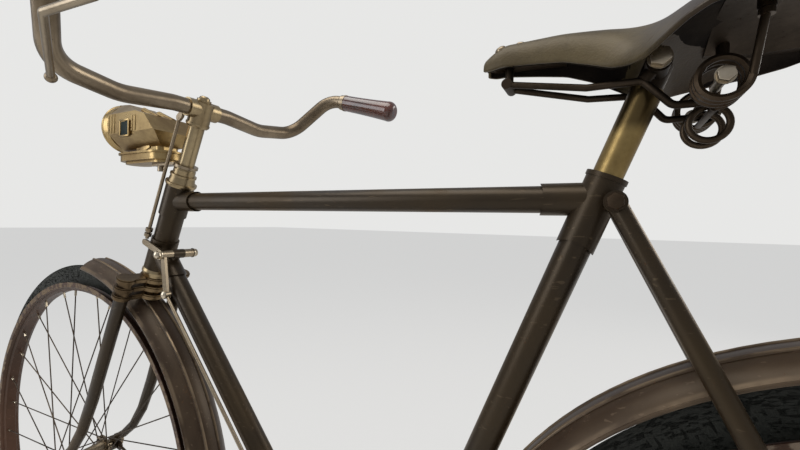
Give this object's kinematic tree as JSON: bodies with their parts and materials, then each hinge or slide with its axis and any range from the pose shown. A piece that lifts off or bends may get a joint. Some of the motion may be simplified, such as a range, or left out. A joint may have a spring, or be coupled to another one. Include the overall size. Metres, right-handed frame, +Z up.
{
  "type": "vintage roadster bicycle",
  "caption": "Old gentleman's roadster bicycle with lugged diamond frame, plated fork crown, rod brake, sprung leather saddle, mudguards and a brass front lamp.",
  "frame": {"origin": "top of the saddle's leather where the rider sits, on the bicycle's middle plane", "axes": "+X forward, +Y to the rider's left, +Z up"},
  "size_m": [1.8411, 0.49, 1.0375],
  "materials": {
    "aged_enamel": "old black enamel gone brown, semi-gloss",
    "mudguard_enamel": "brown patinated enamel with worn bright beads",
    "rim_enamel": "dark red-brown rusted enamel",
    "tyre_rubber": "old matt rubber",
    "worn_nickel": "tarnished warm nickel plate",
    "aged_brass": "aged brass with nickel remains",
    "dark_steel": "dark rusty steel",
    "grip_celluloid": "polished dark red-brown",
    "pedal_rubber": "worn black rubber",
    "saddle_hide": "dark polished hide, scuffed",
    "lens_glass": "clear old glass"
  },
  "bodies": {
    "frame": {"head_tube": "aged_enamel", "top_tube": "aged_enamel", "down_tube": "aged_enamel", "seat_tube": "aged_enamel", "seat_lug": "aged_enamel", "bottom_bracket": "aged_enamel", "chain_stays": "aged_enamel", "seat_stays": "aged_enamel", "rear_dropouts": "aged_enamel", "rear_axle": "worn_nickel", "seat_post": "aged_brass", "saddle_leather": "saddle_hide", "saddle_frame": "dark_steel", "saddle_springs": "dark_steel", "rear_mudguard": "mudguard_enamel", "brake_linkage": "worn_nickel", "chain": "dark_steel"},
    "steering": {"headset": "aged_brass", "fork_crown": "aged_enamel", "fork_blades": "aged_enamel", "front_axle": "worn_nickel", "stem": "worn_nickel", "handlebar": "worn_nickel", "grip_left": "grip_celluloid", "grip_right": "grip_celluloid", "grip_ferrules": "worn_nickel", "brake_lever": "worn_nickel", "brake_rod": "worn_nickel", "front_mudguard": "mudguard_enamel", "lamp_bracket": "worn_nickel", "lamp_body": "aged_brass", "lamp_bezel": "aged_brass", "lamp_lens": "lens_glass"},
    "front_wheel": {"front_tyre": "tyre_rubber", "front_rim": "rim_enamel", "front_spokes": "dark_steel", "front_hub": "worn_nickel"},
    "rear_wheel": {"rear_tyre": "tyre_rubber", "rear_rim": "rim_enamel", "rear_spokes": "dark_steel", "rear_hub": "worn_nickel", "rear_sprocket": "worn_nickel"},
    "crankset": {"cranks": "worn_nickel", "chainwheel": "worn_nickel"},
    "pedal_left": {"pedal_cage_left": "worn_nickel", "pedal_rubbers_left": "pedal_rubber"},
    "pedal_right": {"pedal_cage_right": "worn_nickel", "pedal_rubbers_right": "pedal_rubber"}
  },
  "joints": [
    {"name": "steering_turn", "type": "hinge", "parent": "frame", "child": "steering", "pos_m": [0.67213, 0, -0.15698], "axis": [-0.3827, 0, 0.9239], "range_deg": [-60, 60]},
    {"name": "front_wheel_spin", "type": "hinge", "parent": "steering", "child": "front_wheel", "pos_m": [0.9328, 0, -0.6295], "axis": [0, 1, 0], "continuous": true},
    {"name": "rear_wheel_spin", "type": "hinge", "parent": "frame", "child": "rear_wheel", "pos_m": [-0.16727, 0, -0.6295], "axis": [0, 1, 0], "continuous": true},
    {"name": "crank_spin", "type": "hinge", "parent": "frame", "child": "crankset", "pos_m": [0.3, 0, -0.705], "axis": [0, 1, 0], "continuous": true},
    {"name": "pedal_left_spin", "type": "hinge", "parent": "crankset", "child": "pedal_left", "pos_m": [0.16604, 0.1, -0.60034], "axis": [0, 1, 0], "continuous": true},
    {"name": "pedal_right_spin", "type": "hinge", "parent": "crankset", "child": "pedal_right", "pos_m": [0.43396, -0.1, -0.80966], "axis": [0, 1, 0], "continuous": true}
  ]
}
